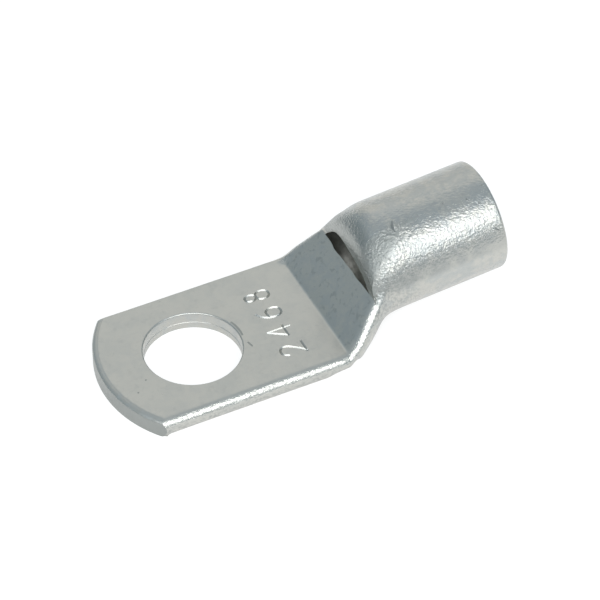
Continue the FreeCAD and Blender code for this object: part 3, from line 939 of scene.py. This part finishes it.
def metal_material(name):
    """A metal material, its tree, its shader, and the place on the lug in millimetres."""
    material, tree = bare_material(name)
    shader = tree.add("ShaderNodeBsdfPrincipled", {"Metallic": 1.0})
    tree.add("ShaderNodeOutputMaterial", {"Surface": shader.outputs["BSDF"]})
    place = tree.add("ShaderNodeTexCoord").outputs["Object"]
    scaled = tree.add("ShaderNodeMapping", {"Vector": place, "Scale": (1 / MM, 1 / MM, 1 / MM)})
    return material, tree, shader, scaled.outputs["Vector"]


def lay_tin(tree, surface, place, grain, pits, scratches):
    """Outputs of the tin's surface with its own share of grain, pits and scratches."""
    inputs = {"Place": place, "Grain": grain, "Pits": pits, "Scratches": scratches}
    return tree.add("ShaderNodeGroup", inputs, node_tree=surface).outputs


def tinned_skin(finish, surface, shape):
    """The outside: an even palm, a cool mottled ramp, grainy folds and barrel."""
    material, tree, shader, place = metal_material("TinnedSkin")
    along, side, height = tree.axes(place)
    foot, lip, heel = (mark / MM for mark in (shape.fold_x, shape.lip_x, shape.heel_x))

    # Skin that no flat die touched, and the crest of the near fold
    past = tree.math("MAXIMUM", tree.math("SUBTRACT", along, foot), 0.0)
    flat = tree.math("ADD", tree.product(past, shape.climb), shape.s.palm_thickness / MM)
    off = tree.math("ABSOLUTE", tree.math("SUBTRACT", height, flat), 0.0)
    ramp = tree.rise(along, foot - 0.1, foot + 0.1)
    barrel = tree.rise(along, lip, lip + 0.1)
    free = tree.math("MAXIMUM", tree.rise(off, 0.05, 0.2), barrel)
    crest = tree.product(tree.fall(off, 0.6, 0.9), tree.fall(barrel, 0.0, 1.0), tree.fall(side, -5.0, -4.0))

    # Where the skin is coarse: the near shoulder, the side below the fold, and a slanted patch at the top
    # of the near shoulder, which is also darkened below as painted shade
    shoulder = tree.product(
        tree.fall(along, 21.0, 25.0), tree.fall(side, -4.2, -2.2), tree.rise(along, 17.4, 18.4))
    fold = tree.product(tree.fall(side, -8.5, -8.0), tree.fall(height, 0.9, 1.3))
    coarse = tree.math("MAXIMUM", shoulder, fold)
    slant = tree.math("SUBTRACT", along, tree.product(side, 1.77))
    worn = tree.product(tree.fall(slant, 27.2, 29.6), tree.fall(side, -2.6, -1.7), barrel)
    rougher = tree.math("ADD", tree.product(coarse, 0.35), 1.0, tree.product(worn, 0.9))
    grain = tree.product(
        tree.rise(free, 0.0, 1.0, 0.07, 1.0), rougher, tree.rise(crest, 0.0, 1.0, 1.0, 0.85))
    tin = lay_tin(tree, surface, place, grain, tree.rise(free, 0.0, 1.0, 0.4, 0.75), 0.1)
    mottle = tin["Mottle"]

    cool = tree.product(tree.rise(mottle, 0.42, 0.6), tree.rise(ramp, 0.0, 1.0, 0.25, 0.95))
    colour = tree.blend(cool, finish.tin, finish.tin_cool)
    # Painted highlight: the crest of the near fold is lightened towards a brighter tin
    painted_highlight_tin = [1.2 * part for part in finish.tin]
    colour = tree.blend(tree.product(crest, free, 0.5), colour, painted_highlight_tin)

    # Dull tin in spots and speckle; painted shade on the slanted shoulder patch, on the barrel's near belly
    # below the highlight and on the rolled lip
    spots = tree.product(
        tin["Spots"], tree.rise(ramp, 0.0, 1.0, 0.12, 0.5), tree.rise(free, 0.0, 1.0, 1.0, 0.25))
    speckle = tree.rise(tree.noise(place, 3.0, 3.0, 0.65), 0.46, 0.58)
    speckle = tree.product(speckle, tree.product(coarse, 0.6), tree.rise(free, 0.0, 1.0))
    # Painted shade that dims the highlight on the slanted shoulder patch, which is also made rougher
    matt_and_painted_shade = tree.product(worn, tree.rise(mottle, 0.4, 0.55, 0.6, 1.0))
    # Painted shade: a dark mottled band on the barrel's near side under its highlight, standing in for a
    # dark reflection
    lift = tree.product(
        tree.math("MAXIMUM", tree.math("SUBTRACT", along, heel), 0.0), math.tan(shape.s.barrel_rise))
    level = tree.math("SUBTRACT", height, lift)
    painted_belly_shade = tree.product(
        tree.rise(level, 6.0, 7.2), tree.fall(level, 8.0, 9.3), tree.fall(side, -4.6, -3.2),
        tree.rise(along, 18.0, 19.5), tree.rise(along, 20.0, 31.0, 1.0, 0.6),
        tree.rise(mottle, 0.36, 0.6, 0.55, 1.0))
    # Painted shade on the rolled lip next to the opening
    painted_lip_shade = tree.product(
        tree.rise(along, lip - 0.1, lip), tree.fall(along, lip + 0.6, lip + 1.8),
        tree.rise(height, 6.5, 7.2), tree.rise(side, -5.4, -4.6, 0.2, 0.9))
    for share in (spots, speckle, matt_and_painted_shade, painted_belly_shade, painted_lip_shade):
        colour = tree.blend(share, colour, finish.dull)
    tree.feed(shader, "Base Color", tree.blend(tree.product(tin["Marks"], 0.6), colour, finish.pit))

    smooth = tree.rise(free, 0.0, 1.0, finish.gloss, finish.gloss - 0.13)
    uneven = tree.rise(mottle, 0.3, 0.7, -0.04, 0.06)
    tree.feed(shader, "Roughness", tree.math("ADD", smooth, uneven, tree.product(matt_and_painted_shade, 0.12)))
    tree.bump(shader, tin["Height"], 1.0, 0.08)
    return material


def tinned_cut(finish, surface):
    """Sheared and punched faces with fine drag lines; the tip's face is duller."""
    material, tree, shader, place = metal_material("TinnedCut")
    along, _, height = tree.axes(place)
    tin = lay_tin(tree, surface, place, 0.6, 0.5, 0.3)
    wall = [0.93 * part for part in finish.tin]
    colour = tree.blend(tree.rise(tin["Mottle"], 0.4, 0.62), wall, finish.tin_cool)
    tip = tree.product(tree.fall(along, -6.6, -5.8), tree.fall(height, 1.7, 1.85))
    colour = tree.blend(tip, colour, finish.dull)
    tree.feed(shader, "Base Color", tree.blend(tree.product(tin["Marks"], 0.4), colour, finish.pit))
    tree.feed(shader, "Roughness", tree.rise(tin["Mottle"], 0.3, 0.7, 0.32, 0.46))
    drag = tree.add("ShaderNodeMapping", {"Vector": place, "Scale": (6.0, 6.0, 0.6)})
    lines = tree.noise(drag.outputs["Vector"], 1.0)
    tree.bump(shader, tree.math("ADD", tin["Height"], tree.product(lines, 0.5)), 0.5, 0.05)
    return material


def tinned_bore(finish, surface):
    """Inside of the tube, where the tin is duller."""
    material, tree, shader, place = metal_material("TinnedBore")
    tin = lay_tin(tree, surface, place, 0.3, 0.2, 0.1)
    dull = [0.75 * part for part in finish.bore_tin]
    colour = tree.blend(tree.rise(tin["Mottle"], 0.4, 0.62), finish.bore_tin, dull)
    tree.feed(shader, "Base Color", tree.blend(tree.product(tin["Marks"], 0.5), colour, finish.pit))
    tree.feed(shader, "Roughness", tree.rise(tin["Mottle"], 0.3, 0.7, 0.4, 0.55))
    tree.bump(shader, tin["Height"], 0.4, 0.06)
    return material


def tinned_nick(finish, surface):
    """Bottoms of the nicks, where the tin is rubbed dark."""
    material, tree, shader, place = metal_material("TinnedNick")
    tin = lay_tin(tree, surface, place, 0.6, 0.5, 0.2)
    share = tree.rise(tin["Mottle"], 0.3, 0.5, 0.5, 1.0)
    tree.feed(shader, "Base Color", tree.blend(share, finish.pit, finish.dull))
    tree.feed(shader, "Roughness", 0.4)
    tree.bump(shader, tin["Height"], 0.6, 0.06)
    return material


class LUG_OT_add_lug(bpy.types.Operator):
    """Builds the tinned lug from its sizes"""
    bl_idname = "lug.add_lug"
    bl_label = "Add Lug"

    def execute(self, context):
        shape = LugShape(context.scene.lug_sizes)
        finish = context.scene.lug_finish
        surface = tin_surface_group()
        materials = [
            tinned_skin(finish, surface, shape), tinned_cut(finish, surface),
            tinned_bore(finish, surface), tinned_nick(finish, surface)]
        lug = as_object("TinnedLug", outside_skin(shape), OUTSIDE)
        slots_on(lug, materials)
        cutters = [handling_marks(lug, SCRATCHES, OUTSIDE), handling_marks(lug, NICKS, NICK)]
        cutters += [cutter(shape) for cutter in (hollow, sight_window, torn_edge, stud_punch, tip_trimmer)]
        carve(lug, cutters + number_stamps(shape))
        if len(lug.data.polygons) < 1000:
            raise RuntimeError("the lug's mesh came out empty")
        sharpen(lug, math.radians(32))
        lug.modifiers.new("EvenNormals", "WEIGHTED_NORMAL").keep_sharp = True
        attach(lug, "root")
        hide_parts(NODE)
        return {"FINISHED"}


def lamp(name, direction, distance, width, height, power, colour=(1.0, 1.0, 1.0)):
    """A soft area lamp in this direction from the lug, facing it."""
    data = bpy.data.lights.new(name, "AREA")
    data.shape = "RECTANGLE"
    data.size, data.size_y = width, height
    data.energy = power
    data.color = colour
    item = bpy.data.objects.new(name, data)
    aim = Vector((14 * MM, 0, 4 * MM))
    towards = Vector(direction).normalized()
    item.location = aim + towards * distance
    item.rotation_euler = towards.to_track_quat("Z", "Y").to_euler()
    item.visible_camera = False
    bpy.context.scene.collection.objects.link(item)


class LUG_OT_add_stage(bpy.types.Operator):
    """Builds the floor, the lamps, the room light and the camera"""
    bl_idname = "lug.add_stage"
    bl_label = "Add Stage"

    def execute(self, context):
        stage = context.scene.lug_stage
        self.add_floor(stage)
        self.add_room(context, stage)
        lamp("KeyLamp", (-0.22, -0.72, 0.66), 0.5, 0.8, 0.3, stage.key_power)
        lamp("BackLamp", (0.33, 0.80, 0.52), 0.6, 0.7, 0.72, stage.back_power, (1.0, 0.88, 0.76))
        self.add_camera(context, stage)
        return {"FINISHED"}

    def add_floor(self, stage):
        bm = bmesh.new()
        bmesh.ops.create_grid(bm, x_segments=1, y_segments=1, size=stage.floor_size / 2)
        bmesh.ops.translate(bm, verts=bm.verts, vec=(0, 0, -0.02 * MM))
        floor = as_object("Floor", bm)
        material, tree = bare_material("PaleFloor")
        rays = tree.add("ShaderNodeLightPath").outputs
        looks = [rays[f"Is {kind} Ray"] for kind in ("Camera", "Glossy", "Transmission")]
        tone = tree.blend(tree.math("MAXIMUM", *looks), (0.9, 0.9, 0.9), (0.4, 0.4, 0.4))
        paper = tree.add("ShaderNodeBsdfDiffuse", {"Color": tone})
        straight = tree.math("MAXIMUM", rays["Is Camera Ray"], rays["Is Transmission Ray"])
        mirrored = tree.product(rays["Is Glossy Ray"], 0.65)
        white = tree.math("MAXIMUM", tree.product(straight, 0.76), mirrored)
        glow = tree.add("ShaderNodeEmission", {"Color": (1.0, 1.0, 1.0, 1.0), "Strength": white})
        surface = tree.add("ShaderNodeAddShader", {0: paper.outputs[0], 1: glow.outputs[0]})
        tree.add("ShaderNodeOutputMaterial", {"Surface": surface.outputs[0]})
        floor.data.materials.append(material)

    def add_room(self, context, stage):
        world = bpy.data.worlds.new("StudioRoom")
        context.scene.world = world
        world.use_nodes = True
        world.node_tree.nodes.clear()
        tree = Tree(world.node_tree)
        height = tree.axes(tree.add("ShaderNodeTexCoord").outputs["Generated"])["Z"]
        share = tree.rise(height, 0.05, 0.8)
        colour = tree.blend(share, (0.285, 0.35, 0.385), (0.47, 0.53, 0.57))
        room = tree.add("ShaderNodeBackground", {"Color": colour, "Strength": stage.sky})
        tree.add("ShaderNodeOutputWorld", {"Surface": room.outputs[0]})

    def add_camera(self, context, stage):
        data = bpy.data.cameras.new("Camera")
        data.sensor_width = 36.0
        data.lens = stage.focal_length
        data.clip_start = 0.01
        camera = bpy.data.objects.new("Camera", data)
        across, up = stage.azimuth, stage.elevation
        view = Vector((
            math.sin(across) * math.cos(up), math.cos(across) * math.cos(up), -math.sin(up)))
        target = Vector((14.287, 3.496, 0.0)) * MM
        camera.location = target - view * stage.distance
        camera.rotation_euler = view.to_track_quat("-Z", "Y").to_euler()
        context.scene.collection.objects.link(camera)
        context.scene.camera = camera
        context.scene.view_settings.view_transform = "Standard"


class LUG_PT_panel(bpy.types.Panel):
    """Sidebar panel of the lug's tools"""
    bl_idname = "LUG_PT_panel"
    bl_label = "Pressed Cable Lug"
    bl_space_type = "VIEW_3D"
    bl_region_type = "UI"
    bl_category = "Lug"

    def draw(self, context):
        layout = self.layout
        for group in (context.scene.lug_sizes, context.scene.lug_finish, context.scene.lug_stage):
            box = layout.box()
            for name in group.__annotations__:
                box.prop(group, name)
        layout.operator(LUG_OT_add_lug.bl_idname)
        layout.operator(LUG_OT_add_stage.bl_idname)


CLASSES = (LugSizes, LugFinish, LugStage, LUG_OT_add_lug, LUG_OT_add_stage, LUG_PT_panel)


def register():
    for item in CLASSES:
        bpy.utils.register_class(item)
    bpy.types.Scene.lug_sizes = bpy.props.PointerProperty(type=LugSizes)
    bpy.types.Scene.lug_finish = bpy.props.PointerProperty(type=LugFinish)
    bpy.types.Scene.lug_stage = bpy.props.PointerProperty(type=LugStage)


def unregister():
    del bpy.types.Scene.lug_stage
    del bpy.types.Scene.lug_finish
    del bpy.types.Scene.lug_sizes
    for item in reversed(CLASSES):
        bpy.utils.unregister_class(item)


def main():
    register()
    bpy.ops.lug.add_lug()
    bpy.ops.lug.add_stage()


if __name__ == "__main__":
    main()
